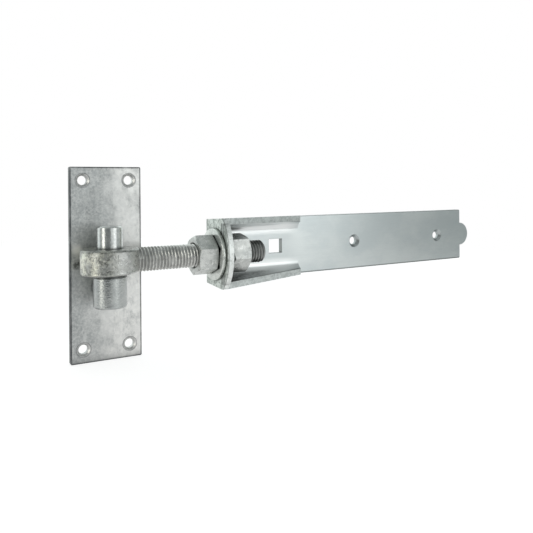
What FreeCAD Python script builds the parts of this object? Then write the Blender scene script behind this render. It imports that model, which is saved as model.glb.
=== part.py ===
import FreeCAD, Part
import Sketcher
import math
import os

# An adjustable gate hinge: a hook on a post plate, an eye bolt that swings on the hook's pin,
# and a folded gate band held on the bolt between two nuts and washers.
# Frame: +Z up, +X along the band, +Y into the post, origin at the centre of the plate's back face.

# Driving dimensions, in millimetres and degrees
SIZES = {
    # Hook plate
    "plate_width": 53,
    "plate_height": 144,
    "plate_thickness": 5,
    "plate_corner_radius": 1,
    "screw_side_distance": 9.25,
    "screw_end_distance": 10,
    "screw_hole_diameter": 6.8,
    "screw_sink_diameter": 10,
    # Hook pin
    "pin_diameter": 18,
    "pin_sideways": 3.8,
    "pin_standoff": 23,
    "pin_rise": 16,
    "pin_edge": 1.2,
    "boss_diameter": 23.6,
    "boss_length": 23,
    "boss_edge": 1.2,
    "neck_diameter": 15,
    "tail_diameter": 12,
    "rivet_head_diameter": 16,
    # Eye bolt
    "bolt_height": 4.3,
    "eye_diameter": 41.6,
    "eye_height": 18.6,
    "eye_edge": 1.2,
    "eye_mouth_chamfer": 0.6,
    "pin_clearance": 0.1,
    "bolt_diameter": 18,
    "bolt_reach": 123,
    "bolt_end_chamfer": 1.6,
    # Nuts and washers
    "nut_across_flats": 27,
    "nut_height": 15.8,
    "nut_face_diameter": 26.2,
    "nut_chamfer_angle": 25,
    "nut_mouth_chamfer": 1,
    "front_nut_angle": 39,
    "rear_nut_angle": 13,
    "thread_clearance": 0.1,
    "washer_diameter": 40,
    "washer_thickness": 3,
    "washer_clearance": 0.75,
    "washer_edge": 0.6,
    "spring_washer_diameter": 28.5,
    "spring_washer_thickness": 4.4,
    "spring_washer_clearance": 0.3,
    "spring_washer_gap": 1.5,
    "spring_washer_slant": 2.5,
    "spring_washer_angle": 35,
    "spring_washer_edge": 0.5,
    # Gate band
    "pin_to_end_plate": 82.3,
    "band_length": 300,
    "band_width": 50,
    "band_thickness": 5,
    "bolt_offset": 17.5,
    "bolt_drop": 1,
    "end_plate_depth": 40.2,
    "fold_radius": 3,
    "fold_relief": 2,
    "end_hole_clearance": 1,
    "flange_length": 88,
    "flange_depth": 29.5,
    "flange_toe_depth": 5,
    "flange_toe_radius": 2,
    "flange_flare": 3.5,
    "flange_fold_radius": 7,
    "tip_radius": 11.4,
    "strap_corner_radius": 1.5,
    "square_hole_place": 65,
    "square_hole_width": 13,
    "square_hole_height": 12,
    "fixing_hole_place": 150.3,
    "fixing_tip_distance": 44,
    "fixing_hole_diameter": 7.2,
    "fixing_sink_diameter": 12,
}

SINK_ANGLE = 90
CUT_MARGIN = 1.1
TOLERANCE = 1e-4

doc = FreeCAD.newDocument("gate_hinge")
sheet = doc.addObject("Spreadsheet::Sheet", "Sizes")
for row, (alias, value) in enumerate(SIZES.items(), start=1):
    sheet.set(f"A{row}", alias)
    sheet.set(f"B{row}", str(value))
    sheet.setAlias(f"B{row}", alias)
doc.recompute()


def add_body(name):
    """A sub-part, named as its file."""
    body = doc.addObject("PartDesign::Body", name)
    body.Label = name
    return body


def place(body, x=None, y=None, z=None):
    """Puts the sub-part's own origin at a point of the hinge's frame."""
    for axis, expression in zip("xyz", (x, y, z)):
        if expression:
            body.setExpression(f"Placement.Base.{axis}", expression)


def turn_about_bolt(body, angle):
    """Turns the sub-part about its own +X axis by the named angle."""
    body.Placement.Rotation = FreeCAD.Rotation(FreeCAD.Vector(1, 0, 0), sheet.get(angle))
    body.setExpression("Placement.Rotation.Angle", f"Sizes.{angle}")


def add_sketch(body, name, plane, height=None, shift_up=None):
    """A sketch on one of the body's origin planes, raised along its normal or shifted up within it."""
    sketch = body.newObject("Sketcher::SketchObject", name)
    support = next(item for item in body.Origin.OriginFeatures if item.Role == plane)
    sketch.AttachmentSupport = [(support, "")]
    sketch.MapMode = "FlatFace"
    if height:
        sketch.setExpression("AttachmentOffset.Base.z", height)
    if shift_up:
        sketch.setExpression("AttachmentOffset.Base.y", shift_up)
    doc.recompute()
    return sketch


def number(sketch, expression):
    return float(sketch.evalExpression(expression)) if expression else 0.0


def fix_point(sketch, geometry, point, across, up):
    """Ties a point of a sketch to its two coordinates; None keeps it on that axis."""
    for kind, expression, axis in (("DistanceX", across, -2), ("DistanceY", up, -1)):
        if expression is None:
            sketch.addConstraint(Sketcher.Constraint("PointOnObject", geometry, point, axis))
        else:
            value = number(sketch, expression)
            index = sketch.addConstraint(Sketcher.Constraint(kind, -1, 1, geometry, point, value))
            sketch.setExpression(f"Constraints[{index}]", expression)


def add_polygon(sketch, corners):
    """A closed outline through corners given as pairs of expressions."""
    points = [FreeCAD.Vector(number(sketch, a), number(sketch, b), 0) for a, b in corners]
    ends = points[1:] + points[:1]
    lines = [sketch.addGeometry(Part.LineSegment(a, b)) for a, b in zip(points, ends)]
    for line, following in zip(lines, lines[1:] + lines[:1]):
        sketch.addConstraint(Sketcher.Constraint("Coincident", line, 2, following, 1))
    for line, (across, up) in zip(lines, corners):
        fix_point(sketch, line, 1, across, up)


def add_rectangle(sketch, left, right, bottom, top):
    add_polygon(sketch, [(left, bottom), (right, bottom), (right, top), (left, top)])


def add_folded_outline(sketch, corners):
    """A closed outline through corners given as expressions (across, up, radius); None keeps one sharp."""
    points = [FreeCAD.Vector(number(sketch, a), number(sketch, b), 0) for a, b, _ in corners]
    radii = [number(sketch, radius) for _, _, radius in corners]
    befores, afters = points[-1:] + points[:-1], points[1:] + points[:1]
    arrivals, bends, departures = [], [], []
    for before, point, after, radius in zip(befores, points, afters, radii):
        back, ahead = (before - point).normalize(), (after - point).normalize()
        half_angle = back.getAngle(ahead) / 2
        bisector = (back + ahead).normalize()
        arrivals.append(point + back * (radius / math.tan(half_angle)))
        bends.append(point + bisector * (radius / math.sin(half_angle) - radius))
        departures.append(point + ahead * (radius / math.tan(half_angle)))
    lines = [sketch.addGeometry(Part.LineSegment(a, b))
             for a, b in zip(departures, arrivals[1:] + arrivals[:1])]
    for index, (line, (across, up, radius)) in enumerate(zip(lines, corners)):
        previous = lines[index - 1]
        if radius is None:
            sketch.addConstraint(Sketcher.Constraint("Coincident", previous, 2, line, 1))
            fix_point(sketch, line, 1, across, up)
            continue
        bend = sketch.addGeometry(Part.Arc(arrivals[index], bends[index], departures[index]))
        first = 1 if (sketch.getPoint(bend, 1) - arrivals[index]).Length < TOLERANCE else 2
        sketch.addConstraint(Sketcher.Constraint("Tangent", previous, 2, bend, first))
        sketch.addConstraint(Sketcher.Constraint("Tangent", bend, 3 - first, line, 1))
        size = sketch.addConstraint(Sketcher.Constraint("Radius", bend, radii[index]))
        sketch.setExpression(f"Constraints[{size}]", radius)
        corner = sketch.addGeometry(Part.Point(points[index]), True)
        sketch.addConstraint(Sketcher.Constraint("PointOnObject", corner, 1, previous))
        sketch.addConstraint(Sketcher.Constraint("PointOnObject", corner, 1, line))
        fix_point(sketch, corner, 1, across, up)


def add_circle(sketch, diameter, across=None, up=None):
    centre = FreeCAD.Vector(number(sketch, across), number(sketch, up), 0)
    radius = number(sketch, diameter) / 2
    circle = sketch.addGeometry(Part.Circle(centre, FreeCAD.Vector(0, 0, 1), radius))
    fix_point(sketch, circle, 3, across, up)
    index = sketch.addConstraint(Sketcher.Constraint("Diameter", circle, 2 * radius))
    sketch.setExpression(f"Constraints[{index}]", diameter)


def add_pad(body, name, sketch, length, reverse=False, both_ways=False):
    pad = body.newObject("PartDesign::Pad", name)
    pad.Profile = sketch
    pad.setExpression("Length", length)
    pad.Reversed = reverse
    pad.Midplane = both_ways
    doc.recompute()
    return pad


def add_through_cut(body, name, sketch):
    """Cuts the sketch's outline right through the body, on both sides of its plane."""
    before = body.Shape.Volume
    pocket = body.newObject("PartDesign::Pocket", name)
    pocket.Profile = sketch
    pocket.Type = "ThroughAll"
    pocket.Midplane = True
    doc.recompute()
    if body.Shape.Volume >= before:
        raise RuntimeError(f"{name} cuts nothing")
    return pocket


def add_cut(body, name, sketch, length):
    """Cuts the sketch's outline to a given length along the sketch's normal."""
    before = body.Shape.Volume
    pocket = body.newObject("PartDesign::Pocket", name)
    pocket.Profile = sketch
    pocket.Reversed = True
    pocket.setExpression("Length", length)
    doc.recompute()
    if body.Shape.Volume >= before:
        raise RuntimeError(f"{name} cuts nothing")
    return pocket


def add_turning(body, name, kind, sketch, axis="H_Axis"):
    """A full revolution of the sketch about one of its own axes, added or cut away."""
    turning = body.newObject(f"PartDesign::{kind}", name)
    turning.Profile = sketch
    turning.ReferenceAxis = (sketch, [axis])
    turning.Angle = 360
    doc.recompute()
    return turning


def add_sunk_holes(body, name, sketch, diameter, sink_diameter):
    """Through holes at the sketch's circles, countersunk on the sketch's side."""
    hole = body.newObject("PartDesign::Hole", name)
    hole.Profile = sketch
    doc.recompute()
    hole.DepthType = "ThroughAll"
    hole.HoleCutType = "Countersink"
    hole.HoleCutCustomValues = True
    hole.setExpression("Diameter", diameter)
    hole.setExpression("HoleCutDiameter", sink_diameter)
    hole.HoleCutCountersinkAngle = SINK_ANGLE
    doc.recompute()
    return hole


def edge_names(shape, wanted):
    """Names of the shape's edges for which a test of the edge holds."""
    return [f"Edge{i}" for i, edge in enumerate(shape.Edges, start=1) if wanted(edge)]


def soften(body, name, kind, size, wanted):
    """A fillet or chamfer of the given size on the body's edges that pass the test."""
    base = body.Tip
    names = edge_names(base.Shape, wanted)
    if not names:
        raise RuntimeError(f"{name} finds no edge")
    feature = body.newObject(f"PartDesign::{kind}", name)
    feature.Base = (base, names)
    feature.setExpression("Radius" if kind == "Fillet" else "Size", size)
    doc.recompute()
    if not feature.isValid():
        raise RuntimeError(f"{name} can't be made")
    return feature


def is_straight(edge, axis):
    """True where the edge is a straight line along x, y or z."""
    if edge.Curve.TypeId != "Part::GeomLine":
        return False
    return abs(abs(getattr(edge.Curve.Direction, axis)) - 1) < TOLERANCE


def is_circle(edge, radius):
    return edge.Curve.TypeId == "Part::GeomCircle" and abs(edge.Curve.Radius - radius) < TOLERANCE


def lies_at(edge, **place_on):
    """True where every end of the edge has the given coordinates."""
    return all(
        abs(getattr(vertex.Point, axis) - value) < TOLERANCE
        for vertex in edge.Vertexes
        for axis, value in place_on.items()
    )


def make_hook_plate():
    """Post plate with four countersunk screw holes and a riveting hole for the hook's tail."""
    body = add_body("hook_plate")
    outline = add_sketch(body, "plate_outline", "XZ_Plane")
    add_rectangle(outline, "-Sizes.plate_width / 2", "Sizes.plate_width / 2",
                  "-Sizes.plate_height / 2", "Sizes.plate_height / 2")
    add_pad(body, "plate_sheet", outline, "Sizes.plate_thickness")
    soften(body, "plate_corners", "Fillet", "Sizes.plate_corner_radius",
           lambda edge: is_straight(edge, "y"))

    screws = add_sketch(body, "screw_places", "XZ_Plane", height="Sizes.plate_thickness")
    screw_across = "(Sizes.plate_width / 2 - Sizes.screw_side_distance)"
    screw_up = "(Sizes.plate_height / 2 - Sizes.screw_end_distance)"
    for across in (f"-{screw_across}", screw_across):
        for up in (f"-{screw_up}", screw_up):
            add_circle(screws, "Sizes.screw_hole_diameter", across, up)
    add_sunk_holes(body, "screw_holes", screws, "Sizes.screw_hole_diameter", "Sizes.screw_sink_diameter")

    tail = add_sketch(body, "tail_place", "XZ_Plane")
    add_circle(tail, "Sizes.tail_diameter", "-Sizes.pin_sideways",
               "Sizes.bolt_height - (Sizes.eye_height + Sizes.boss_length) / 2")
    add_through_cut(body, "tail_hole", tail)
    soften(body, "rivet_sink", "Chamfer", "(Sizes.rivet_head_diameter - Sizes.tail_diameter) / 2",
           lambda edge: is_circle(edge, sheet.tail_diameter / 2) and lies_at(edge, y=0))
    return body


def make_hook_pin():
    """Upright pin on a thicker boss, and the neck whose tail is riveted flush in the plate."""
    body = add_body("hook_pin")
    boss_bottom = "-Sizes.eye_height / 2 - Sizes.boss_length"
    pin_top = "Sizes.eye_height / 2 + Sizes.pin_rise"
    profile = add_sketch(body, "pin_profile", "XZ_Plane")
    add_polygon(profile, [
        (None, boss_bottom),
        ("Sizes.boss_diameter / 2 - Sizes.boss_edge", boss_bottom),
        ("Sizes.boss_diameter / 2", f"{boss_bottom} + Sizes.boss_edge"),
        ("Sizes.boss_diameter / 2", "-Sizes.eye_height / 2"),
        ("Sizes.pin_diameter / 2", "-Sizes.eye_height / 2"),
        ("Sizes.pin_diameter / 2", f"{pin_top} - Sizes.pin_edge"),
        ("Sizes.pin_diameter / 2 - Sizes.pin_edge", pin_top),
        (None, pin_top),
    ])
    add_turning(body, "pin_turning", "Revolution", profile, "V_Axis")

    plate_back = "Sizes.pin_standoff + Sizes.plate_thickness"
    head_depth = "(Sizes.rivet_head_diameter - Sizes.tail_diameter) / 2"
    neck = add_sketch(body, "neck_profile", "YZ_Plane",
                      shift_up="-(Sizes.eye_height + Sizes.boss_length) / 2")
    add_polygon(neck, [
        (None, None),
        (plate_back, None),
        (plate_back, "Sizes.rivet_head_diameter / 2"),
        (f"{plate_back} - {head_depth}", "Sizes.tail_diameter / 2"),
        ("Sizes.pin_standoff", "Sizes.tail_diameter / 2"),
        ("Sizes.pin_standoff", "Sizes.neck_diameter / 2"),
        (None, "Sizes.neck_diameter / 2"),
    ])
    add_turning(body, "neck_turning", "Revolution", neck)
    place(body, PIN_X, PIN_Y, "Sizes.bolt_height")
    return body


def make_eye_bolt():
    """Forged eye on the pin and the screwed shank that carries the band, as one piece."""
    body = add_body("eye_bolt")
    eye = add_sketch(body, "eye_outline", "XY_Plane")
    add_circle(eye, "Sizes.eye_diameter")
    add_pad(body, "eye_block", eye, "Sizes.eye_height", both_ways=True)
    soften(body, "eye_edges", "Chamfer", "Sizes.eye_edge",
           lambda edge: is_circle(edge, sheet.eye_diameter / 2))

    shank = add_sketch(body, "shank_section", "YZ_Plane")
    add_circle(shank, "Sizes.bolt_diameter")
    add_pad(body, "shank", shank, "Sizes.bolt_reach")
    soften(body, "shank_end", "Chamfer", "Sizes.bolt_end_chamfer",
           lambda edge: is_circle(edge, sheet.bolt_diameter / 2) and lies_at(edge, x=sheet.bolt_reach))

    bore = add_sketch(body, "eye_bore_outline", "XY_Plane")
    add_circle(bore, "Sizes.pin_diameter + 2 * Sizes.pin_clearance")
    add_through_cut(body, "eye_bore", bore)
    bore_radius = sheet.pin_diameter / 2 + sheet.pin_clearance
    soften(body, "eye_mouths", "Chamfer", "Sizes.eye_mouth_chamfer",
           lambda edge: is_circle(edge, bore_radius))
    place(body, PIN_X, PIN_Y, "Sizes.bolt_height")
    return body


def make_nut(name, x, angle):
    """Hexagon nut along +X, chamfered at both ends, with a plain bore for the thread."""
    body = add_body(name)
    corner = "Sizes.nut_across_flats / sqrt(3)"
    flat = "Sizes.nut_across_flats / 2"
    hexagon = add_sketch(body, f"{name}_hexagon", "YZ_Plane")
    add_polygon(hexagon, [
        (corner, None), (f"{corner} / 2", flat), (f"-{corner} / 2", flat),
        (f"-{corner}", None), (f"-{corner} / 2", f"-{flat}"), (f"{corner} / 2", f"-{flat}"),
    ])
    add_pad(body, f"{name}_block", hexagon, "Sizes.nut_height")

    face = "Sizes.nut_face_diameter / 2"
    rim = f"{corner} * {CUT_MARGIN}"
    slope = f"({rim} - {face}) * tan(Sizes.nut_chamfer_angle * 1 deg)"
    chamfers = add_sketch(body, f"{name}_chamfers", "XY_Plane")
    add_polygon(chamfers, [(None, face), (None, rim), (slope, rim)])
    add_polygon(chamfers, [("Sizes.nut_height", face), ("Sizes.nut_height", rim),
                           (f"Sizes.nut_height - {slope}", rim)])
    add_turning(body, f"{name}_corners", "Groove", chamfers)

    bore = add_sketch(body, f"{name}_bore_outline", "YZ_Plane")
    add_circle(bore, THREAD_BORE)
    add_through_cut(body, f"{name}_bore", bore)
    bore_radius = sheet.bolt_diameter / 2 + sheet.thread_clearance
    soften(body, f"{name}_mouths", "Chamfer", "Sizes.nut_mouth_chamfer",
           lambda edge: is_circle(edge, bore_radius))
    turn_about_bolt(body, angle)
    place(body, x, PIN_Y, "Sizes.bolt_height")
    return body


def make_front_washer():
    """Punched plain washer along +X, with its rim eased on the side away from the end plate."""
    body = add_body("front_washer")
    ring = add_sketch(body, "front_washer_ring", "YZ_Plane")
    add_circle(ring, "Sizes.washer_diameter")
    add_circle(ring, "Sizes.bolt_diameter + 2 * Sizes.washer_clearance")
    add_pad(body, "front_washer_disc", ring, "Sizes.washer_thickness")
    soften(body, "front_washer_rim", "Chamfer", "Sizes.washer_edge",
           lambda edge: is_circle(edge, sheet.washer_diameter / 2) and lies_at(edge, x=0))
    place(body, FRONT_WASHER_X, PIN_Y, "Sizes.bolt_height")
    return body


def make_spring_washer():
    """Split lock washer along +X, pressed nearly flat, with a slanting gap through one side."""
    body = add_body("spring_washer")
    outer = "Sizes.spring_washer_diameter"
    ring = add_sketch(body, "spring_washer_ring", "YZ_Plane")
    add_circle(ring, outer)
    add_circle(ring, "Sizes.bolt_diameter + 2 * Sizes.spring_washer_clearance")
    add_pad(body, "spring_washer_coil", ring, "Sizes.spring_washer_thickness")
    soften(body, "spring_washer_rims", "Chamfer", "Sizes.spring_washer_edge",
           lambda edge: is_circle(edge, sheet.spring_washer_diameter / 2))

    near = "-Sizes.spring_washer_slant / 2"
    far = "Sizes.spring_washer_slant / 2"
    gap = add_sketch(body, "spring_washer_gap", "XY_Plane")
    add_polygon(gap, [
        (None, near),
        ("Sizes.spring_washer_thickness", far),
        ("Sizes.spring_washer_thickness", f"{far} + Sizes.spring_washer_gap"),
        (None, f"{near} + Sizes.spring_washer_gap"),
    ])
    add_cut(body, "spring_washer_split", gap, outer)
    turn_about_bolt(body, "spring_washer_angle")
    place(body, SPRING_WASHER_X, PIN_Y, "Sizes.bolt_height")
    return body


def make_band():
    """One folded sheet: strap with a round tip, two tapered flanges and the end plate for the bolt."""
    body = add_body("band")
    half_width = "Sizes.band_width / 2"
    body_end = "Sizes.band_length - Sizes.tip_radius"

    def side_at(depth):
        """Half height of the flared sides at a depth before the strap's front face."""
        return f"({half_width} + (Sizes.band_thickness + {depth}) * tan(Sizes.flange_flare * 1 deg))"

    # End plate, folded from the strap's end, with an arc as its free edge
    plate = add_sketch(body, "end_plate_outline", "YZ_Plane")
    tip_side = side_at("Sizes.end_plate_depth")
    add_polygon(plate, [
        ("Sizes.band_thickness", f"-{half_width}"),
        ("Sizes.band_thickness", half_width),
        ("-Sizes.end_plate_depth", tip_side),
        ("-Sizes.end_plate_depth", f"-{tip_side}"),
    ])
    add_pad(body, "end_plate", plate, "Sizes.band_thickness")

    rim = side_at("Sizes.flange_depth")
    crown = "(Sizes.end_plate_depth - Sizes.flange_depth)"
    arc_radius = f"({rim} ^ 2 + {crown} ^ 2) / (2 * {crown})"
    free_edge = add_sketch(body, "free_edge", "YZ_Plane")
    add_circle(free_edge, f"2 * {arc_radius}", f"{arc_radius} - Sizes.end_plate_depth")
    add_rectangle(free_edge, f"-{arc_radius} * 2 - Sizes.end_plate_depth", f"{arc_radius} * 3",
                  f"-{arc_radius} * 2", f"{arc_radius} * 2")
    add_through_cut(body, "end_plate_arc", free_edge)

    thickness = sheet.band_thickness
    root = side_at("0")
    fold = add_sketch(body, "fold_root_outline", "YZ_Plane", height="Sizes.band_thickness")
    add_polygon(fold, [
        (None, f"-{root}"), ("Sizes.band_thickness", f"-{half_width}"),
        ("Sizes.band_thickness", half_width), (None, root),
    ])
    add_pad(body, "fold_root", fold, "Sizes.fold_radius + Sizes.fold_relief")
    soften(body, "end_fold_inside", "Fillet", "Sizes.fold_radius",
           lambda edge: lies_at(edge, x=thickness, y=0))
    soften(body, "end_fold_outside", "Fillet", "Sizes.fold_radius + Sizes.band_thickness",
           lambda edge: lies_at(edge, x=0, y=thickness))

    # Channel of strap and flared flanges, folded along the band and tapered towards the toes
    wall = "Sizes.band_thickness / cos(Sizes.flange_flare * 1 deg)"
    inside = "Sizes.flange_fold_radius"
    outside = "Sizes.flange_fold_radius + Sizes.band_thickness"
    channel = add_sketch(body, "channel_section", "YZ_Plane", height="Sizes.band_thickness")
    add_folded_outline(channel, [
        ("Sizes.band_thickness", f"-{half_width}", outside),
        ("Sizes.band_thickness", half_width, outside),
        ("-Sizes.flange_depth", rim, None),
        ("-Sizes.flange_depth", f"{rim} - {wall}", None),
        (None, f"{root} - {wall}", inside),
        (None, f"-({root} - {wall})", inside),
        ("-Sizes.flange_depth", f"-({rim} - {wall})", None),
        ("-Sizes.flange_depth", f"-{rim}", None),
    ])
    add_pad(body, "channel", channel, "Sizes.flange_length - Sizes.band_thickness")

    taper = add_sketch(body, "flange_taper", "XY_Plane")
    clear = f"-Sizes.flange_depth * {CUT_MARGIN}"
    add_polygon(taper, [
        ("Sizes.band_thickness", "-Sizes.flange_depth"),
        ("Sizes.flange_length", "-Sizes.flange_toe_depth"),
        ("Sizes.flange_length", clear),
        ("Sizes.band_thickness", clear),
    ])
    add_through_cut(body, "flange_edges", taper)
    soften(body, "flange_toes", "Fillet", "Sizes.flange_toe_radius",
           lambda edge: is_straight(edge, "z")
           and lies_at(edge, x=sheet.flange_length, y=-sheet.flange_toe_depth))

    strap = add_sketch(body, "strap_outline", "XZ_Plane")
    add_rectangle(strap, "Sizes.flange_length", body_end, f"-{half_width}", half_width)
    add_pad(body, "strap", strap, "Sizes.band_thickness", reverse=True)
    soften(body, "strap_corners", "Fillet", "Sizes.strap_corner_radius",
           lambda edge: is_straight(edge, "y") and lies_at(edge, x=sheet.band_length - sheet.tip_radius))
    tip = add_sketch(body, "tip_outline", "XZ_Plane")
    add_circle(tip, "2 * Sizes.tip_radius", body_end)
    add_pad(body, "tip", tip, "Sizes.band_thickness", reverse=True)

    fixings = add_sketch(body, "fixing_places", "XZ_Plane")
    for across in ("Sizes.fixing_hole_place", "Sizes.band_length - Sizes.fixing_tip_distance"):
        add_circle(fixings, "Sizes.fixing_hole_diameter", across)
    add_sunk_holes(body, "fixing_holes", fixings, "Sizes.fixing_hole_diameter",
                   "Sizes.fixing_sink_diameter")

    square = add_sketch(body, "square_hole_outline", "XZ_Plane")
    add_rectangle(square, "Sizes.square_hole_place - Sizes.square_hole_width / 2",
                  "Sizes.square_hole_place + Sizes.square_hole_width / 2",
                  "-Sizes.square_hole_height / 2", "Sizes.square_hole_height / 2")
    add_through_cut(body, "square_hole", square)

    bolt_hole = add_sketch(body, "bolt_hole_outline", "YZ_Plane")
    add_circle(bolt_hole, "Sizes.bolt_diameter + 2 * Sizes.end_hole_clearance",
               "-Sizes.bolt_offset", "-Sizes.bolt_drop")
    add_cut(body, "bolt_hole", bolt_hole, "Sizes.band_thickness")
    place(body, END_PLATE_X, f"{PIN_Y} + Sizes.bolt_offset", "Sizes.bolt_height + Sizes.bolt_drop")
    return body


# Places that several pieces share
PIN_X = "-Sizes.pin_sideways"
PIN_Y = "-Sizes.plate_thickness - Sizes.pin_standoff"
END_PLATE_X = f"{PIN_X} + Sizes.pin_to_end_plate"
THREAD_BORE = "Sizes.bolt_diameter + 2 * Sizes.thread_clearance"
FRONT_WASHER_X = f"{END_PLATE_X} - Sizes.washer_thickness"
SPRING_WASHER_X = f"{END_PLATE_X} + Sizes.band_thickness"

bodies = [
    make_hook_plate(),
    make_hook_pin(),
    make_eye_bolt(),
    make_nut("front_nut", f"{FRONT_WASHER_X} - Sizes.nut_height", "front_nut_angle"),
    make_front_washer(),
    make_spring_washer(),
    make_nut("rear_nut", f"{SPRING_WASHER_X} + Sizes.spring_washer_thickness", "rear_nut_angle"),
    make_band(),
]
doc.recompute()

failed = [item.Name for item in doc.Objects if "Invalid" in item.State or "Error" in item.State]
failed += [body.Label for body in bodies if body.Shape.isNull() or not body.Shape.isValid()]
if failed:
    raise RuntimeError(f"not built: {failed}")

os.makedirs("parts", exist_ok=True)
for body in bodies:
    body.Shape.exportStep(f"parts/{body.Label}.step")
    box = body.Shape.BoundBox
    print(body.Label, len(body.Shape.Solids), round(body.Shape.Volume, 1), box)
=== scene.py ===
import math

import bpy
from mathutils import Matrix, Vector, noise


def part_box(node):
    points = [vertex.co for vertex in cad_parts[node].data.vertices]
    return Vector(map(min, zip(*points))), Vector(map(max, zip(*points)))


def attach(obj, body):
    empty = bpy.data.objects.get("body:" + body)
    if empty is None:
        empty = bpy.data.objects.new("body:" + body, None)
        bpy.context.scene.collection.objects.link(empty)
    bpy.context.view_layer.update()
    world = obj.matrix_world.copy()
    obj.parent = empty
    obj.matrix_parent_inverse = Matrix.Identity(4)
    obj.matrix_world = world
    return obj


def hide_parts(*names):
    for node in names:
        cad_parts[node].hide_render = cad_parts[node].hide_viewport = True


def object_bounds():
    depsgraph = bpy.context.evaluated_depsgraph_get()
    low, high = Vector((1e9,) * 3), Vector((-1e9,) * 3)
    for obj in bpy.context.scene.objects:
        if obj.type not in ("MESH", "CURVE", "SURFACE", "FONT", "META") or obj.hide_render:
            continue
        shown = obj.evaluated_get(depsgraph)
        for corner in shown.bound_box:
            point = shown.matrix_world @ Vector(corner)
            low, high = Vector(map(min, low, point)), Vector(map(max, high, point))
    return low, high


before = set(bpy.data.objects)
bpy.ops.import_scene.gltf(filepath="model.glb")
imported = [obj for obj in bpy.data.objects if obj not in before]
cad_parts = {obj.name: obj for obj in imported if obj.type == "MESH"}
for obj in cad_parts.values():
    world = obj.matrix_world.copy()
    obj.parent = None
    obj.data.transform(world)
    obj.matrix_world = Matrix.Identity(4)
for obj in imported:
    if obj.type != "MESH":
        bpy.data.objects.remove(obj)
cad_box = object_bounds()

MM = 0.001
scene = bpy.context.scene
scene.view_settings.view_transform = "Standard"


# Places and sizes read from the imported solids

EYE_LOW, EYE_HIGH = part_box("eye_bolt")
EYE_RADIUS = (EYE_HIGH.y - EYE_LOW.y) / 2
EYE_HALF = (EYE_HIGH.z - EYE_LOW.z) / 2
PIN_X = EYE_LOW.x + EYE_RADIUS
BOLT_Y = (EYE_LOW.y + EYE_HIGH.y) / 2
BOLT_Z = (EYE_LOW.z + EYE_HIGH.z) / 2
BOLT_END = EYE_HIGH.x
PLATE_LOW, PLATE_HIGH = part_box("hook_plate")
PLATE_HALF = (PLATE_HIGH - PLATE_LOW) / 2
BAND_LOW, BAND_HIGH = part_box("band")
BAND_Z = (BAND_LOW.z + BAND_HIGH.z) / 2


# Sizes repeated from the part's source

BOLT_RADIUS = 9.0 * MM
END_CHAMFER = 1.6 * MM
EYE_BORE = 9.1 * MM
EYE_MOUTH = 0.6 * MM
SCREW_X = PLATE_HALF.x - 9.25 * MM
SCREW_Z = PLATE_HALF.z - 10 * MM
SCREW_PLACES = [(x, z) for x in (-SCREW_X, SCREW_X) for z in (-SCREW_Z, SCREW_Z)]
SCREW_SINK_RADIUS = 5 * MM
SHEET = 5 * MM
STRAP_HALF = 25 * MM
WALL = STRAP_HALF - SHEET
FLANGE_LENGTH = 88 * MM
FLANGE_DEPTH = 29.5 * MM
TOE_DEPTH = 5 * MM
SQUARE_X = BAND_LOW.x + 65 * MM
SQUARE_HALF_WIDTH = 6.5 * MM
SQUARE_HALF_HEIGHT = 6 * MM
FIXING_PLACES = (BAND_LOW.x + 150.3 * MM, BAND_HIGH.x - 44 * MM)
FIXING_SINK_RADIUS = 6 * MM


# Mesh helpers

def clamp(value):
    return min(max(value, 0.0), 1.0)


def add_mesh(name, points, faces, material, body, slot):
    """A smooth-shaded piece in the row frame that rides on a body."""
    mesh = bpy.data.meshes.new(name)
    mesh.from_pydata(points, [], faces)
    mesh.validate()
    mesh.shade_smooth()
    piece = bpy.data.objects.new(name, mesh)
    scene.collection.objects.link(piece)
    mesh.materials.append(material)
    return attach(piece, body)


def ease_edges(node, width, segments):
    """Rounds the sharp edges of a solid's mesh, which keeps its own points."""
    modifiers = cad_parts[node].modifiers
    weld = modifiers.new("weld", "WELD")
    weld.merge_threshold = 0.002 * MM
    flatten = modifiers.new("flatten", "DECIMATE")
    flatten.decimate_type = "DISSOLVE"
    flatten.angle_limit = math.radians(0.3)
    bevel = modifiers.new("bevel", "BEVEL")
    bevel.width = width
    bevel.segments = segments
    bevel.limit_method = "ANGLE"
    bevel.angle_limit = math.radians(32)
    normals = modifiers.new("normals", "WEIGHTED_NORMAL")
    normals.weight = 90


# Node helpers

class Nodes:
    """A node tree built by calls, each of which gives the socket that it ends in."""

    def __init__(self, owner):
        owner.use_nodes = True
        self.nodes = owner.node_tree.nodes
        self.links = owner.node_tree.links

    def feed(self, socket, value):
        """Links a socket to another one, or sets its value; a colour comes without its alpha."""
        if isinstance(value, bpy.types.NodeSocket):
            self.links.new(value, socket)
        elif socket.type == "RGBA":
            socket.default_value = (*value, 1)
        else:
            socket.default_value = value

    def math(self, operation, first, second=0.0):
        node = self.nodes.new("ShaderNodeMath")
        node.operation = operation
        self.feed(node.inputs[0], first)
        self.feed(node.inputs[1], second)
        return node.outputs["Value"]

    def product(self, first, *others):
        for other in others:
            first = self.math("MULTIPLY", first, other)
        return first

    def mix(self, factor, first, second):
        node = self.nodes.new("ShaderNodeMix")
        node.data_type = "RGBA"
        self.feed(node.inputs["Factor"], factor)
        self.feed(node.inputs["A"], first)
        self.feed(node.inputs["B"], second)
        return node.outputs["Result"]

    def spread(self, value, low, high, to_low=0.0, to_high=1.0):
        """Maps low..high to to_low..to_high, smoothly and clamped."""
        node = self.nodes.new("ShaderNodeMapRange")
        node.interpolation_type = "SMOOTHSTEP"
        self.feed(node.inputs["Value"], value)
        node.inputs["From Min"].default_value = low
        node.inputs["From Max"].default_value = high
        node.inputs["To Min"].default_value = to_low
        node.inputs["To Max"].default_value = to_high
        return node.outputs["Result"]


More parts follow.
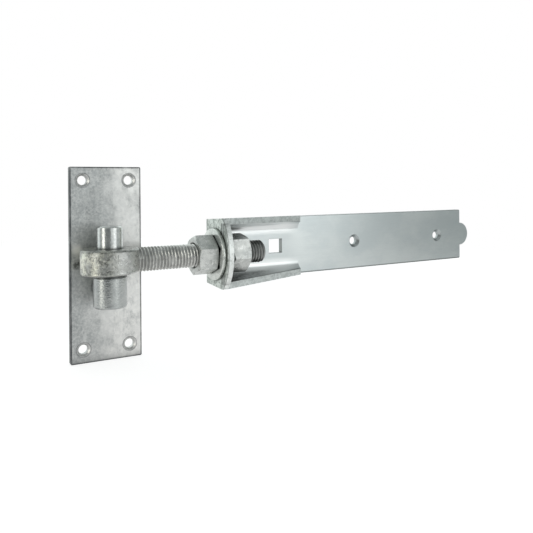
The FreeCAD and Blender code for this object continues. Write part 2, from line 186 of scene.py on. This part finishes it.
class Surface(Nodes):
    """A metal's material: a colour with coats over it, roughness and bumps."""

    def __init__(self, name):
        self.material = bpy.data.materials.new(name)
        super().__init__(self.material)
        self.shader = self.nodes["Principled BSDF"]
        self.places = self.nodes.new("ShaderNodeTexCoord").outputs["Object"]
        self.colour = None

    def stretched(self, scale):
        node = self.nodes.new("ShaderNodeMapping")
        self.feed(node.inputs["Vector"], self.places)
        node.inputs["Scale"].default_value = scale
        return node.outputs["Vector"]

    def noise(self, scale, detail=3.0, roughness=0.55, stretch=None, distortion=0.0):
        node = self.nodes.new("ShaderNodeTexNoise")
        self.feed(node.inputs["Vector"], self.stretched(stretch) if stretch else self.places)
        node.inputs["Scale"].default_value = scale
        node.inputs["Detail"].default_value = detail
        node.inputs["Roughness"].default_value = roughness
        node.inputs["Distortion"].default_value = distortion
        return node.outputs["Fac"]

    def cells(self, scale):
        """A random grey for each crystal of the zinc."""
        node = self.nodes.new("ShaderNodeTexVoronoi")
        self.feed(node.inputs["Vector"], self.places)
        node.inputs["Scale"].default_value = scale
        grey = self.nodes.new("ShaderNodeSeparateColor")
        self.feed(grey.inputs["Color"], node.outputs["Color"])
        return grey.outputs["Red"]

    def axis(self, letter):
        node = self.nodes.new("ShaderNodeSeparateXYZ")
        self.feed(node.inputs["Vector"], self.places)
        return node.outputs[letter]

    def ramp(self, letter, low, high, to_low=0.0, to_high=1.0):
        """Spreads the places along an axis."""
        return self.spread(self.axis(letter), low, high, to_low, to_high)

    def away(self, letter, middle):
        """How far a point is from a place along an axis."""
        return self.math("ABSOLUTE", self.math("SUBTRACT", self.axis(letter), middle))

    def inside(self, letter, middle, half, soft):
        """One within half of a place along an axis, fading to nought over a soft width."""
        return self.spread(self.away(letter, middle), half - soft, half, 1.0, 0.0)

    def radius(self, first, first_middle, second, second_middle):
        """How far a point is from a line along the third axis."""
        sides = [self.away(first, first_middle), self.away(second, second_middle)]
        squares = [self.product(side, side) for side in sides]
        return self.math("SQRT", self.math("ADD", *squares))

    def round_spot(self, x, z, radius, soft):
        """One within a radius of a line along Y, fading to nought over a soft width."""
        return self.spread(self.radius("X", x, "Z", z), radius - soft, radius, 1.0, 0.0)

    def crease_shade(self, reach, strength):
        """A mask for painted shade: strong where another surface stands closer than the reach,
        nought in the open.
        """
        node = self.nodes.new("ShaderNodeAmbientOcclusion")
        node.samples = 12
        node.inputs["Distance"].default_value = reach
        return self.spread(node.outputs["AO"], 0.3, 0.9, strength, 0.0)

    def coat(self, mask, colour):
        """Lays a colour over the present one, as strongly as the mask says."""
        self.colour = self.mix(mask, self.colour, colour)

    def bump(self, height, depth, before=None):
        node = self.nodes.new("ShaderNodeBump")
        node.inputs["Strength"].default_value = 1.0
        node.inputs["Distance"].default_value = depth
        self.feed(node.inputs["Height"], height)
        if before:
            self.feed(node.inputs["Normal"], before)
        return node.outputs["Normal"]

    def finish(self, roughness, normal):
        self.feed(self.shader.inputs["Base Color"], self.colour)
        self.feed(self.shader.inputs["Roughness"], roughness)
        self.shader.inputs["Metallic"].default_value = 1.0
        self.feed(self.shader.inputs["Normal"], normal)
        return self.material


# Zinc on each kind of surface

# Near black for painted shade in crevices and in the gaps between parts
CREVICE_SHADE = (0.05, 0.052, 0.05)


def plate_zinc():
    """Dull hot-dip zinc: cloudy, paler to the lower right, with scuffs and dark sheared edges."""
    t = Surface("plate_zinc")
    half = PLATE_HALF
    clouds = t.noise(42, detail=6, roughness=0.68)
    speckle = t.noise(700, detail=4, roughness=0.75)
    smudges = t.noise(150, detail=8, roughness=0.78, stretch=(1.0, 1.0, 0.5))

    cloudy = t.spread(clouds, 0.0, 1.0, 0.28, 0.72)
    across = t.ramp("X", -0.9 * half.x, 0.7 * half.x, -0.24, 0.22)
    down = t.ramp("Z", -0.5 * half.z, 0.6 * half.z, 0.05, -0.11)
    tone = t.spread(t.math("ADD", cloudy, t.math("ADD", across, down)), 0.3, 0.7)
    t.colour = t.mix(tone, (0.42, 0.435, 0.435), (0.87, 0.862, 0.842))
    corner = t.product(t.ramp("X", 0.25 * half.x, 0.8 * half.x, 0.0, 0.7),
                       t.ramp("Z", -0.45 * half.z, 0.0, 1.0, 0.0))
    t.coat(corner, (0.93, 0.92, 0.895))
    t.coat(t.spread(smudges, 0.48, 0.66, 0.0, 0.6), (0.33, 0.345, 0.35))
    t.coat(t.spread(speckle, 0.38, 0.62, 0.0, 0.5), (0.8, 0.8, 0.78))
    t.coat(t.spread(t.cells(380), 0.0, 1.0, 0.0, 0.2), (0.42, 0.43, 0.43))

    # A painted pale reflection and a painted dark shadow of the eye beside it, on the front only
    front = t.ramp("Y", -1.2 * half.y, -0.8 * half.y, 1.0, 0.0)
    painted_reflection = t.round_spot(-21.5 * MM, 11.4 * MM, 6 * MM, 5 * MM)
    t.coat(t.product(painted_reflection, front), (0.8, 0.795, 0.775))
    ragged = t.spread(t.noise(420, detail=3, distortion=1.0), 0.42, 0.54, 0.35, 0.9)
    painted_shade = t.round_spot(-21.2 * MM, 0.3 * MM, 4.8 * MM, 3.2 * MM)
    t.coat(t.product(painted_shade, front, ragged), (0.1, 0.105, 0.1))

    rim_width = 1.4 * MM
    rims = [t.spread(t.away(letter, 0.0), size - rim_width, size - 0.3 * rim_width)
            for letter, size in (("X", half.x), ("Z", half.z))]
    rim = t.product(t.math("MAXIMUM", *rims), t.spread(smudges, 0.25, 0.6, 0.6, 1.0))
    t.coat(rim, (0.07, 0.075, 0.08))
    t.coat(t.ramp("Z", -half.z, -half.z + 7 * MM, 0.4, 0.0), (0.2, 0.21, 0.21))
    # Painted shade in corners and where other parts stand close
    t.coat(t.crease_shade(3.5 * MM, 0.7), (0.14, 0.145, 0.145))

    # Countersinks: a painted bright glint on the cone, in a broken ring of painted shade
    broken = t.product(front, t.spread(smudges, 0.3, 0.6, 0.35, 0.85))
    painted_glint = t.product(front, 0.65)
    for x, z in SCREW_PLACES:
        ring = t.round_spot(x, z, SCREW_SINK_RADIUS + 0.9 * MM, 0.6 * MM)
        t.coat(t.product(ring, broken), (0.16, 0.165, 0.17))
        cone = t.round_spot(x, z, SCREW_SINK_RADIUS + 0.2 * MM, 0.3 * MM)
        t.coat(t.product(cone, painted_glint), (0.93, 0.925, 0.91))

    rough = t.spread(smudges, 0.3, 0.7, 0.34, 0.5)
    return t.finish(rough, t.bump(speckle, 0.05 * MM, t.bump(clouds, 0.12 * MM)))


def pin_zinc():
    """Bright turned zinc with a fine drawn grain, darker and dented on the boss, with painted
    shade under the eye.
    """
    t = Surface("pin_zinc")
    streaks = t.noise(520, detail=5, roughness=0.65, stretch=(1.0, 1.0, 0.35))
    runs = t.noise(190, detail=5, roughness=0.65)
    t.colour = t.mix(t.spread(runs, 0.36, 0.66), (0.62, 0.635, 0.63), (0.80, 0.81, 0.79))
    t.coat(t.spread(streaks, 0.5, 0.72, 0.0, 0.45), (0.40, 0.415, 0.41))
    boss = t.ramp("Z", EYE_LOW.z - 0.4 * MM, EYE_LOW.z, 0.55, 0.0)
    t.coat(boss, (0.36, 0.38, 0.375))
    # Painted shadow line under the eye, and painted shade where other parts stand close
    under_eye_shadow = t.inside("Z", EYE_LOW.z - 0.7 * MM, 1.5 * MM, 0.7 * MM)
    t.coat(t.product(under_eye_shadow, 0.8), CREVICE_SHADE)
    t.coat(t.crease_shade(3.5 * MM, 0.9), CREVICE_SHADE)
    rough = t.spread(streaks, 0.3, 0.7, 0.16, 0.28)
    dents = t.product(t.noise(650, detail=4, roughness=0.6), t.math("ADD", boss, 0.1))
    return t.finish(rough, t.bump(streaks, 0.025 * MM, t.bump(dents, 0.3 * MM)))


def eye_zinc():
    """Rough forged zinc with pits, crackled under a painted warm highlight on its left side, and
    painted shade on its rims.
    """
    t = Surface("eye_zinc")
    scale = t.noise(400, detail=2.5, roughness=0.5, distortion=0.8)
    patches = t.noise(95, detail=5, roughness=0.6)
    pits = t.noise(260, detail=3, roughness=0.55, distortion=1.4)
    # Painted warm highlight on the left side, where the crackle also shows most
    highlit_side = t.ramp("X", PIN_X - 0.45 * EYE_RADIUS, PIN_X + 0.15 * EYE_RADIUS, 1.0, 0.0)
    bright = t.mix(highlit_side, (0.62, 0.625, 0.61), (0.90, 0.895, 0.79))
    t.colour = t.mix(t.spread(patches, 0.4, 0.62), (0.55, 0.555, 0.53), bright)
    crackle = t.product(t.spread(scale, 0.4, 0.58, 0.46, 0.0), t.math("ADD", highlit_side, 0.12))
    t.coat(crackle, (0.17, 0.17, 0.155))
    t.coat(t.spread(pits, 0.64, 0.72, 0.0, 0.7), (0.12, 0.125, 0.12))
    # Painted shade on the top and bottom edges, and where other parts stand close
    rim = t.spread(t.away("Z", BOLT_Z), EYE_HALF - 2.6 * MM, EYE_HALF - 0.8 * MM)
    t.coat(t.product(rim, t.spread(pits, 0.3, 0.6, 0.3, 0.6)), (0.19, 0.195, 0.185))
    t.coat(t.crease_shade(1.5 * MM, 0.85), CREVICE_SHADE)
    rough = t.spread(scale, 0.3, 0.7, 0.24, 0.4)
    return t.finish(rough, t.bump(scale, 0.35 * MM, t.bump(patches, 0.5 * MM)))


def thread_zinc():
    """Zinc on the screwed shank, with painted light on the crests and painted shade between them
    and on the tail.
    """
    t = Surface("thread_zinc")
    scale = t.noise(420, detail=6, roughness=0.7)
    blotches = t.noise(170, detail=3, distortion=0.8)
    # Painted shade in the roots of the thread, lighter on the crests
    crest = t.spread(t.radius("Y", BOLT_Y, "Z", BOLT_Z), 7.7 * MM, 8.95 * MM)
    t.colour = t.mix(crest, (0.47, 0.47, 0.46), (0.84, 0.84, 0.81))
    t.coat(t.spread(blotches, 0.4, 0.62, 0.0, 0.45), (0.36, 0.36, 0.35))
    t.coat(t.spread(scale, 0.46, 0.66, 0.0, 0.5), (0.34, 0.34, 0.33))
    # Painted shade on the tail, inside the channel
    tail = t.ramp("X", BOLT_END - 17 * MM, BOLT_END - 13 * MM, 0.0, 0.6)
    t.coat(tail, (0.17, 0.175, 0.175))
    return t.finish(t.spread(scale, 0.3, 0.7, 0.26, 0.42), t.bump(scale, 0.16 * MM))


def nut_zinc():
    """Satin zinc with pale rubs and dark scuffs, and painted shade on the nut behind the end
    plate.
    """
    t = Surface("nut_zinc")
    scuffs = t.noise(330, detail=7, roughness=0.74, distortion=0.5)
    rubs = t.noise(210, detail=6, roughness=0.7, distortion=1.2)
    clouds = t.noise(120, detail=4)
    t.colour = t.mix(t.spread(clouds, 0.36, 0.66), (0.57, 0.585, 0.57), (0.76, 0.77, 0.745))
    t.coat(t.spread(rubs, 0.55, 0.66, 0.0, 0.8), (0.92, 0.92, 0.90))
    t.coat(t.spread(scuffs, 0.54, 0.68, 0.0, 0.65), (0.27, 0.275, 0.265))
    # Painted shade on the nut behind the end plate, in the gaps beside the nuts and under the
    # flange
    t.coat(t.ramp("X", BAND_LOW.x, BAND_LOW.x + 1 * MM, 0.0, 0.2), (0.3, 0.3, 0.295))
    t.coat(t.crease_shade(2.0 * MM, 0.95), CREVICE_SHADE)
    t.coat(t.crease_shade(18 * MM, 0.75), (0.12, 0.125, 0.12))
    rough = t.spread(scuffs, 0.3, 0.7, 0.24, 0.42)
    return t.finish(rough, t.bump(scuffs, 0.1 * MM, t.bump(clouds, 0.25 * MM)))


def washer_zinc():
    """Satin zinc with a faint punched grain."""
    t = Surface("washer_zinc")
    clouds = t.noise(170, detail=5, roughness=0.65)
    grain = t.noise(1000, detail=4, roughness=0.7)
    t.colour = t.mix(t.spread(clouds, 0.36, 0.66), (0.62, 0.645, 0.615), (0.82, 0.835, 0.80))
    t.coat(t.spread(grain, 0.52, 0.72, 0.0, 0.4), (0.42, 0.435, 0.41))
    # Painted shade round the nut and in the gaps
    t.coat(t.crease_shade(6 * MM, 0.75), (0.2, 0.22, 0.2))
    t.coat(t.crease_shade(1.8 * MM, 0.95), CREVICE_SHADE)
    rough = t.spread(grain, 0.3, 0.7, 0.18, 0.32)
    return t.finish(rough, t.bump(grain, 0.04 * MM, t.bump(clouds, 0.15 * MM)))


def band_zinc():
    """Pale rolled strip with painted highlights on its bends and painted shade in its channel, a
    mottled end plate and sheared edges.
    """
    t = Surface("band_zinc")
    streaks = t.noise(1100, detail=5, roughness=0.62, stretch=(0.07, 1.0, 1.0))
    clouds = t.noise(34, detail=6, roughness=0.62, stretch=(0.6, 1.0, 1.0))
    specks = t.noise(800, detail=4, roughness=0.75)
    mottle = t.noise(300, detail=7, roughness=0.72, distortion=0.6)
    height = t.away("Z", BAND_Z)

    def along(low, high, to_low=0.0, to_high=1.0):
        """Spreads the distance from the end plate's face."""
        return t.ramp("X", BAND_LOW.x + low, BAND_LOW.x + high, to_low, to_high)

    def mottled(dark, pale, low=0.36, high=0.6):
        return t.mix(t.spread(mottle, low, high), dark, pale)

    t.colour = t.mix(t.spread(clouds, 0.36, 0.66), (0.63, 0.675, 0.68), (0.72, 0.755, 0.75))

    # Channel between the flanges: a greyer web and painted highlights where it bends into the
    # flanges
    inner = t.product(t.inside("Z", BAND_Z, STRAP_HALF - 1.2 * MM, 0.8 * MM),
                      t.ramp("Y", BAND_HIGH.y - SHEET + 0.5 * MM, BAND_HIGH.y - SHEET + 2 * MM,
                             1.0, 0.0))
    channel = t.product(inner, along(FLANGE_LENGTH - 16 * MM, FLANGE_LENGTH + 4 * MM, 1.0, 0.0))
    fold_start, fold_end = WALL - 11 * MM, WALL - 6 * MM
    web = t.product(channel, t.spread(height, fold_start, fold_end, 0.3, 0.0))
    t.coat(web, (0.45, 0.48, 0.49))
    fold_highlight = t.product(channel, t.spread(height, fold_start, fold_end, 0.0, 0.88))
    t.coat(fold_highlight, (0.955, 0.965, 0.96))
    t.coat(t.spread(streaks, 0.46, 0.72, 0.0, 0.1), (0.52, 0.55, 0.555))

    # Long sides of the strap: painted shade along their edges, and a painted dark line along the
    # foot
    past_flanges = along(FLANGE_LENGTH, FLANGE_LENGTH + 1 * MM)
    side = t.spread(height, STRAP_HALF - 0.8 * MM, STRAP_HALF - 0.3 * MM)
    t.coat(t.product(side, past_flanges, 0.6), (0.2, 0.21, 0.21))
    strap_foot = BAND_Z - STRAP_HALF
    foot = t.ramp("Z", strap_foot + 0.7 * MM, strap_foot + 1.3 * MM, 0.75, 0.0)
    t.coat(t.product(past_flanges, foot), (0.16, 0.17, 0.17))
    t.coat(t.spread(specks, 0.6, 0.74, 0.0, 0.2), (0.45, 0.47, 0.47))

    # End plate: its cut thickness, the arris of its face and the face
    cut = along(SHEET - 0.1 * MM, SHEET + 0.2 * MM, 1.0, 0.0)
    t.coat(cut, mottled((0.66, 0.685, 0.66), (0.95, 0.97, 0.95), 0.34, 0.56))
    arris = t.inside("X", BAND_LOW.x + 0.75 * MM, 0.5 * MM, 0.2 * MM)
    t.coat(t.product(arris, 0.65), (0.16, 0.17, 0.16))
    face = along(0.2 * MM, 0.6 * MM, 1.0, 0.0)
    t.coat(face, mottled((0.36, 0.39, 0.365), (0.82, 0.86, 0.82)))

    # Flanges: sheared edges, and a line of painted shade beside them on the inside
    edge, edge_shade = flange_edge(t)
    t.coat(t.product(edge_shade, inner, 0.75), (0.12, 0.125, 0.12))
    sheared = t.product(edge, 0.9)
    t.coat(sheared, mottled((0.54, 0.57, 0.56), (0.79, 0.825, 0.81)))

    # Holes: painted shade on the square hole's walls and in the countersinks
    square = t.product(t.inside("X", SQUARE_X, SQUARE_HALF_WIDTH + 0.2 * MM, 0.1 * MM),
                       t.inside("Z", BAND_Z, SQUARE_HALF_HEIGHT + 0.2 * MM, 0.1 * MM))
    t.coat(t.product(square, 0.75), (0.2, 0.21, 0.205))
    sinks = [t.round_spot(x, BAND_Z, FIXING_SINK_RADIUS + 0.2 * MM, 0.6 * MM)
             for x in FIXING_PLACES]
    sink_shade = t.product(t.math("MAXIMUM", *sinks), t.spread(mottle, 0.35, 0.6, 0.65, 0.25))
    t.coat(sink_shade, (0.2, 0.21, 0.21))

    # Painted shade and reflection of the nut inside the lower flange, near the end plate
    low_wall = BAND_Z - WALL
    painted_shade = t.product(t.ramp("Z", low_wall - 0.3 * MM, low_wall + 2 * MM, 0.95, 0.0),
                      along(34 * MM, 72 * MM, 1.0, 0.0),
                      along(SHEET + 0.2 * MM, SHEET + 1 * MM),
                      t.math("SUBTRACT", 1.0, edge),
                      t.spread(mottle, 0.3, 0.6, 1.0, 0.6))
    t.coat(painted_shade, (0.08, 0.085, 0.085))
    # Painted shade in the corners and gaps
    t.coat(t.crease_shade(2.6 * MM, 0.85), CREVICE_SHADE)

    low_fold = t.product(t.ramp("Z", low_wall + 2 * MM, low_wall + 5 * MM, 1.0, 0.0),
                         along(FLANGE_LENGTH - 6 * MM, FLANGE_LENGTH + 2 * MM, 1.0, 0.0))
    dull = t.math("MAXIMUM", t.math("MAXIMUM", cut, sheared), low_fold)
    rough = t.math("MAXIMUM", t.spread(streaks, 0.3, 0.7, 0.28, 0.33), t.product(dull, 0.48))
    return t.finish(rough, t.bump(streaks, 0.0018 * MM, t.bump(clouds, 0.12 * MM)))


def flange_edge(t):
    """Two masks: the flanges' slanting free edges, and the strip beside them."""
    run = FLANGE_LENGTH - SHEET
    rise = FLANGE_DEPTH - TOE_DEPTH
    length = math.hypot(run, rise)
    start_y = BAND_HIGH.y - SHEET - FLANGE_DEPTH
    toe_y = BAND_HIGH.y - SHEET - TOE_DEPTH
    along = t.product(t.math("SUBTRACT", t.axis("X"), BAND_LOW.x + SHEET), rise / length)
    depth = t.product(t.math("SUBTRACT", t.axis("Y"), start_y), run / length)
    away = t.math("ABSOLUTE", t.math("SUBTRACT", depth, along))
    before_strap = t.ramp("Y", toe_y + 0.4 * MM, toe_y + 1 * MM, 1.0, 0.0)
    return [t.product(before_strap, t.spread(away, low, high, 1.0, 0.0))
            for low, high in ((0.2 * MM, 0.7 * MM), (0.8 * MM, 4.5 * MM))]


# Solids that stay: the material of each, and the width and segments of its rounded edges

ZINC = {make.__name__: make() for make in
        (plate_zinc, pin_zinc, eye_zinc, thread_zinc, nut_zinc, washer_zinc, band_zinc)}

for node, name, width, segments in (
    ("hook_plate", "plate_zinc", 0.35 * MM, 2),
    ("hook_pin", "pin_zinc", 0.4 * MM, 3),
    ("front_nut", "nut_zinc", 0.35 * MM, 2),
    ("rear_nut", "nut_zinc", 0.35 * MM, 2),
    ("front_washer", "washer_zinc", 0.3 * MM, 2),
    ("spring_washer", "washer_zinc", 0.25 * MM, 2),
    ("band", "band_zinc", 0.5 * MM, 3),
):
    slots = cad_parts[node].data.materials
    slots.clear()
    slots.append(ZINC[name])
    ease_edges(node, width, segments)


# Screwed shank: a right-hand thread, unevenly filled with zinc, whose depth fades out at the eye

PITCH = 2.5 * MM
THREAD_STEPS = 60
THREAD_PROFILE = (  # share of the pitch, radius in mm
    (0.00, 9.00), (0.06, 8.97), (0.12, 8.82), (0.34, 7.74), (0.41, 7.53),
    (0.50, 7.48), (0.59, 7.53), (0.66, 7.74), (0.88, 8.82), (0.94, 8.97),
)
SHANK_START = PIN_X + 13 * MM
RUN_OUT = 3 * MM
RUN_OUT_DEPTH = 0.4
CLEAN_TAIL = 24 * MM
CLEAN_FADE = 8 * MM
OPEN_DEPTH = 0.78
FILL_CHANGE = 0.35
FILL_SCALE = 115
RUN_DEPTH = 0.07 * MM
RUN_SCALE = 330


def thread_radius(x, angle, radius):
    """The zinc's radius over a point of the clean thread, inside the chamfer of the bolt's end."""
    p = Vector((x, BOLT_RADIUS * math.cos(angle), BOLT_RADIUS * math.sin(angle)))
    fade = clamp((x - PIN_X - EYE_RADIUS + RUN_OUT) / RUN_OUT)
    tail = clamp((x - BOLT_END + CLEAN_TAIL) / CLEAN_FADE)
    clear = OPEN_DEPTH + (1 - OPEN_DEPTH) * tail + FILL_CHANGE * noise.noise(p * FILL_SCALE)
    depth = (BOLT_RADIUS - radius) * (RUN_OUT_DEPTH + (1 - RUN_OUT_DEPTH) * fade)
    runs = RUN_DEPTH * (1 + noise.noise(p * RUN_SCALE))
    chamfer = BOLT_RADIUS - END_CHAMFER + (BOLT_END - x) + 0.05 * MM
    return min(BOLT_RADIUS - depth * min(clear, 1.0) - runs, chamfer)


def make_thread():
    turns = range(-1, math.ceil((BOLT_END - SHANK_START) / PITCH) + 1)
    rows = [(turn + share, radius * MM) for turn in turns for share, radius in THREAD_PROFILE]
    points = []
    for share, radius in rows:
        for step in range(THREAD_STEPS):
            angle = 2 * math.pi * step / THREAD_STEPS
            x = SHANK_START + (share + step / THREAD_STEPS) * PITCH
            x = min(max(x, SHANK_START), BOLT_END)
            r = thread_radius(x, angle, radius)
            points.append((x, BOLT_Y + r * math.cos(angle), BOLT_Z + r * math.sin(angle)))
    faces = []
    for row in range(len(rows) - 1):
        for step in range(THREAD_STEPS):
            here = row * THREAD_STEPS + step
            beside = here + 1
            if step == THREAD_STEPS - 1:  # on to the next turn
                beside = (row + len(THREAD_PROFILE)) * THREAD_STEPS
            if beside + THREAD_STEPS < len(points):
                faces.append((here, beside, beside + THREAD_STEPS, here + THREAD_STEPS))
    end_face = points[-THREAD_STEPS:]
    faces.append(tuple(range(len(points), len(points) + THREAD_STEPS)))
    return points + end_face, faces


# Forged eye: a ring with rounded edges, a faint parting ridge and an uneven skin

EYE_STEPS = 168
EYE_EDGE = 1.9 * MM
SKIN_RADIUS = EYE_RADIUS - 0.08 * MM
SIDE_STEPS = 22
RIDGE_HEIGHT = 0.36 * EYE_HALF
RIDGE_WIDTH = 0.7 * MM
RIDGE_LIFT = 0.08 * MM
DRAFT = 0.22 * MM
SEAT_RADIUS = 12 * MM
UNDERSIDE_RISE = 1.2 * MM
UNDERSIDE_TILT = 0.8 * MM
SMOOTH_RADIUS = 11 * MM
DENT_SHARE = 0.0035
DENT_SCALE, FINE_DENT_SCALE = 130, 420


def eye_section():
    """Points (radius, height) round the ring's section, from the bore outwards and back."""
    side = EYE_HALF - EYE_EDGE
    centre = SKIN_RADIUS - EYE_EDGE
    bore = [(EYE_BORE, z * (EYE_HALF - EYE_MOUTH)) for z in (-1, -0.5, 0, 0.5, 1)]
    top = [(EYE_BORE + EYE_MOUTH * 0.4, EYE_HALF - EYE_MOUTH * 0.4),
           (EYE_BORE + EYE_MOUTH, EYE_HALF)]
    top += [(EYE_BORE + (centre - EYE_BORE) * s, EYE_HALF) for s in (0.3, 0.6, 0.85, 1.0)]
    for angle in (15, 30, 45, 60, 75):
        turn = math.radians(angle)
        top.append((centre + EYE_EDGE * math.sin(turn), side + EYE_EDGE * math.cos(turn)))
    foot = [(radius, -height) for radius, height in reversed(top)]
    skin = []
    for i in range(SIDE_STEPS + 1):
        z = side - 2 * side * i / SIDE_STEPS
        lift = math.exp(-((z - RIDGE_HEIGHT) / RIDGE_WIDTH) ** 2) * RIDGE_LIFT
        skin.append((SKIN_RADIUS + lift - abs(z - RIDGE_HEIGHT) / EYE_HALF * DRAFT, z))
    return bore + top + skin + foot


def make_eye():
    section = eye_section()
    columns = len(section)
    points, faces = [], []
    for step in range(EYE_STEPS):
        angle = 2 * math.pi * step / EYE_STEPS
        following = (step + 1) % EYE_STEPS
        for column, (radius, height) in enumerate(section):
            lower = clamp(-height / EYE_HALF)
            outer = clamp((radius - SEAT_RADIUS) / (EYE_RADIUS - SEAT_RADIUS))
            rise = (UNDERSIDE_RISE + UNDERSIDE_TILT * math.cos(angle)) * lower * outer
            p = Vector((radius * math.cos(angle), radius * math.sin(angle), height + rise))
            if radius > SMOOTH_RADIUS:
                dent = noise.noise(p * DENT_SCALE) + 0.5 * noise.noise(p * FINE_DENT_SCALE)
                p *= 1 - (DENT_SHARE + DENT_SHARE * dent)
            points.append((PIN_X + p.x, BOLT_Y + p.y, BOLT_Z + p.z))
            beside = (column + 1) % columns
            faces.append((step * columns + column, step * columns + beside,
                          following * columns + beside, following * columns + column))
    return points, faces


thread = add_mesh("bolt_thread", *make_thread(), ZINC["thread_zinc"], "eye", "bolt_zinc")
eye = add_mesh("bolt_eye", *make_eye(), ZINC["eye_zinc"], "eye", "bolt_zinc")
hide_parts("eye_bolt")
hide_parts("eye_bolt")


# Camera of the photograph: level, with the lens shifted down

CAMERA_PLACE = (-0.1207, -0.4505, 0.05805)
YAW = math.radians(29.744)
ROLL = math.radians(-0.434)


def make_camera():
    camera = bpy.data.objects.new("camera", bpy.data.cameras.new("camera"))
    scene.collection.objects.link(camera)
    camera.data.sensor_width = 36.0
    camera.data.lens = 40.48
    camera.data.shift_x = 0.0085
    camera.data.shift_y = -0.154
    camera.data.clip_start = 0.01
    forward = Vector((math.sin(YAW), math.cos(YAW), 0))
    right = Vector((math.cos(YAW), -math.sin(YAW), 0))
    up = Vector((0, 0, 1))
    across = math.cos(ROLL) * right + math.sin(ROLL) * up
    upright = -math.sin(ROLL) * right + math.cos(ROLL) * up
    turn = Matrix((across, upright, -forward)).transposed().to_4x4()
    camera.matrix_world = Matrix.Translation(CAMERA_PLACE) @ turn
    scene.camera = camera


make_camera()


# Floor: white to the camera and pale in reflections, with a faint shadow

FLOOR_MIDDLE = (0.17, 0.34)
FLOOR_RADIUS = 0.66
FLOOR_CORNERS = 96
FLOOR_GREY = (0.4, 0.4, 0.4)
FLOOR_GLOW_SEEN = 0.8
FLOOR_GLOW_MIRRORED = 0.53


def make_floor():
    z = cad_box[0][2] - 0.05 * MM
    turns = [2 * math.pi * i / FLOOR_CORNERS for i in range(FLOOR_CORNERS)]
    rim = [(FLOOR_MIDDLE[0] + FLOOR_RADIUS * math.cos(turn),
            FLOOR_MIDDLE[1] + FLOOR_RADIUS * math.sin(turn), z) for turn in turns]
    mesh = bpy.data.meshes.new("floor")
    mesh.from_pydata(rim, [], [tuple(range(FLOOR_CORNERS))])
    floor = bpy.data.objects.new("floor", mesh)
    scene.collection.objects.link(floor)
    material = bpy.data.materials.new("floor_white")
    t = Nodes(material)
    t.nodes.clear()
    matt = t.nodes.new("ShaderNodeBsdfDiffuse")
    t.feed(matt.inputs["Color"], FLOOR_GREY)
    path = t.nodes.new("ShaderNodeLightPath").outputs
    mirrored = t.math("MAXIMUM", path["Is Glossy Ray"], path["Is Transmission Ray"])
    level = t.math("ADD", t.product(path["Is Camera Ray"], FLOOR_GLOW_SEEN),
                   t.product(mirrored, FLOOR_GLOW_MIRRORED))
    glow = t.nodes.new("ShaderNodeEmission")
    t.feed(glow.inputs["Strength"], level)
    both = t.nodes.new("ShaderNodeAddShader")
    t.feed(both.inputs[0], matt.outputs[0])
    t.feed(both.inputs[1], glow.outputs[0])
    output = t.nodes.new("ShaderNodeOutputMaterial")
    t.feed(output.inputs["Surface"], both.outputs[0])
    mesh.materials.append(material)


make_floor()


# Studio: a grey room that is white behind the object and to the camera

ROOM_LEVEL = 0.34
ROOM_TINT = (0.935, 1.0, 0.99)
ROOM_PARTS = (  # direction, angles where its fading starts and ends, change of level
    ((0.05, 1.0, 0.0), 55, 82, 0.66),
    ((-0.5, -0.85, 0.0), 6, 30, -0.14),
    ((0.95, -0.31, 0.0), 5, 27, 0.14),
    ((0.0, -0.3, 1.0), 15, 60, 0.1),
)


def make_world():
    scene.world = bpy.data.worlds.new("studio")
    t = Nodes(scene.world)
    t.nodes.clear()
    direction = t.nodes.new("ShaderNodeTexCoord").outputs["Generated"]
    level = ROOM_LEVEL
    for axis, inner, outer, change in ROOM_PARTS:
        dot = t.nodes.new("ShaderNodeVectorMath")
        dot.operation = "DOT_PRODUCT"
        t.feed(dot.inputs[0], direction)
        dot.inputs[1].default_value = Vector(axis).normalized()
        part = t.spread(dot.outputs["Value"], math.cos(math.radians(outer)),
                        math.cos(math.radians(inner)), 0.0, change)
        level = t.math("ADD", level, part)
    seen = t.nodes.new("ShaderNodeLightPath").outputs["Is Camera Ray"]
    level = t.math("ADD", t.product(level, t.math("SUBTRACT", 1.0, seen)), seen)
    background = t.nodes.new("ShaderNodeBackground")
    t.feed(background.inputs["Color"], t.mix(seen, ROOM_TINT, (1, 1, 1)))
    t.feed(background.inputs["Strength"], level)
    output = t.nodes.new("ShaderNodeOutputWorld")
    t.feed(output.inputs["Surface"], background.outputs[0])


make_world()


# Soft boxes

WARM = (1.0, 0.985, 0.9)
COOL = (0.98, 1.0, 1.0)
KEY_TURN = math.radians(-74)
KEY_DISTANCE = 1.1
KEY_PLACE = (PIN_X + KEY_DISTANCE * math.sin(KEY_TURN),
             BOLT_Y - KEY_DISTANCE * math.cos(KEY_TURN), 0.2)


def add_soft_box(name, place, target, size, power, colour):
    light = bpy.data.lights.new(name, "AREA")
    light.shape = "RECTANGLE"
    light.size, light.size_y = size
    light.energy = power
    light.color = colour
    lamp = bpy.data.objects.new(name, light)
    lamp.location = place
    lamp.rotation_euler = (Vector(target) - Vector(place)).to_track_quat("-Z", "Y").to_euler()
    scene.collection.objects.link(lamp)


add_soft_box("key", KEY_PLACE, (PIN_X, BOLT_Y, 0.0), (0.45, 0.8), 2.1, WARM)
add_soft_box("fill", (0.71, -1.2, 0.25), (0.15, -0.02, 0.0), (0.72, 0.9), 2.38, COOL)
add_soft_box("front", (0.11, -1.2, 0.25), (0.05, -0.02, 0.0), (0.47, 0.9), 0.65, COOL)
